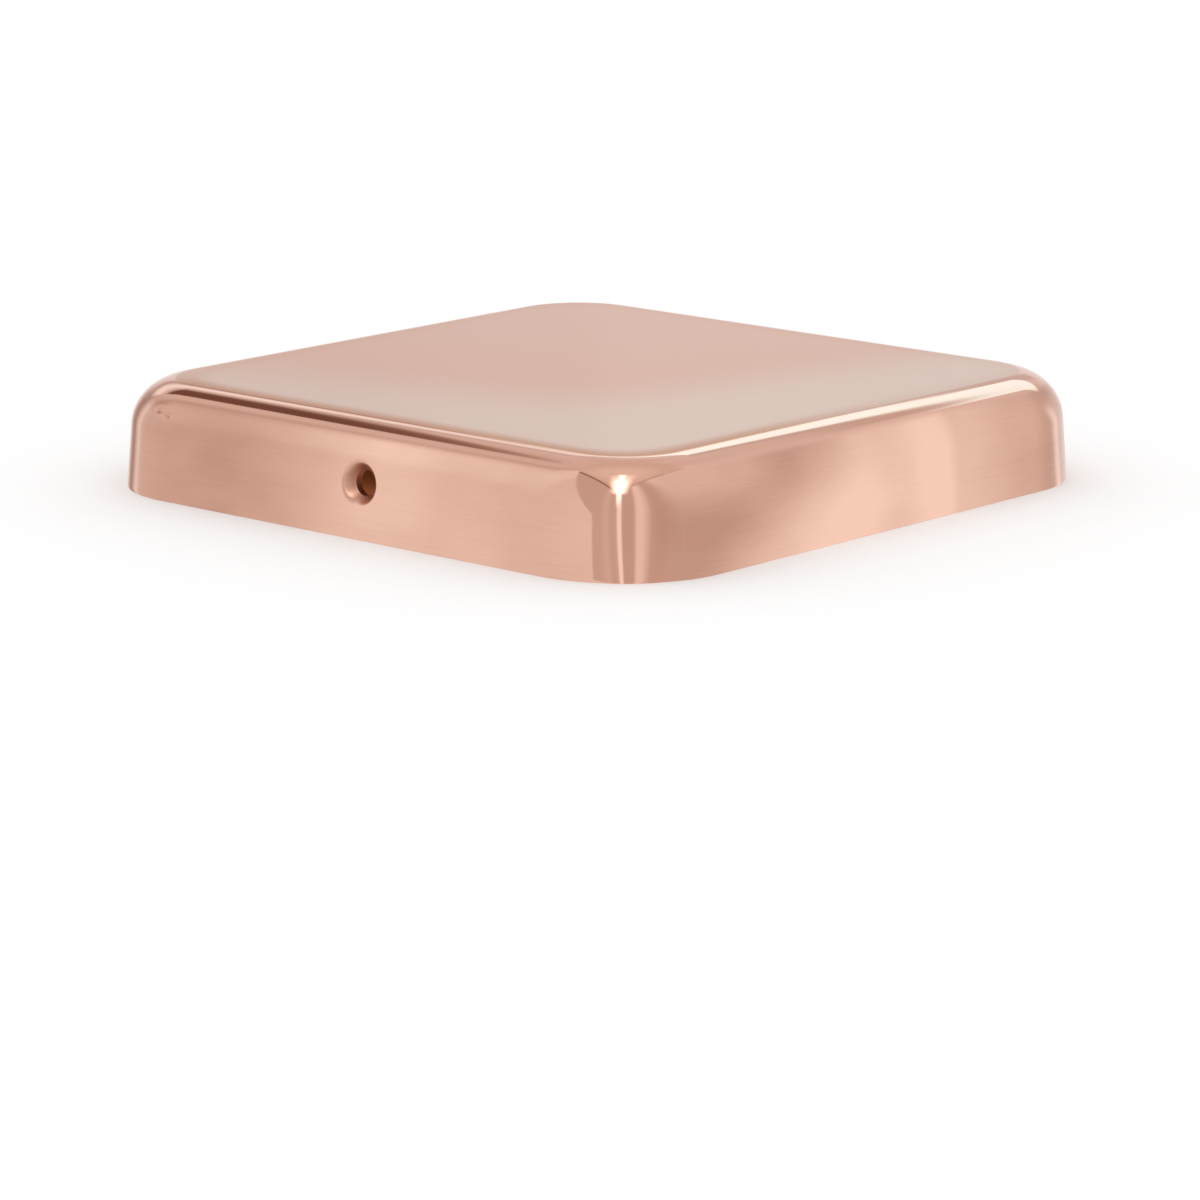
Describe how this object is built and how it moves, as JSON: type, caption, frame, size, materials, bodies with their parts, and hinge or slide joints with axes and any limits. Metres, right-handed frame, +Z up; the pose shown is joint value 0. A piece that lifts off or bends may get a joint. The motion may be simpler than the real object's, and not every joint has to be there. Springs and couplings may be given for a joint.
{
  "type": "deck post cap",
  "caption": "Low square cap drawn from one copper sheet, with rounded corners and a rolled top edge, that covers the top of a timber post and is screwed through dimpled holes.",
  "frame": {"origin": "middle of the open underside, in the plane of the trimmed rim", "axes": "+Z up out of the flat top, +X along the front wall, -Y out of the front wall, which has a screw hole"},
  "size_m": [0.106, 0.106, 0.0155],
  "materials": {
    "copper_sheet": "satin copper, brushed along the walls and polished on the edge roll and corners"
  },
  "bodies": {
    "root": {"post_cap": "copper_sheet"}
  },
  "joints": []
}
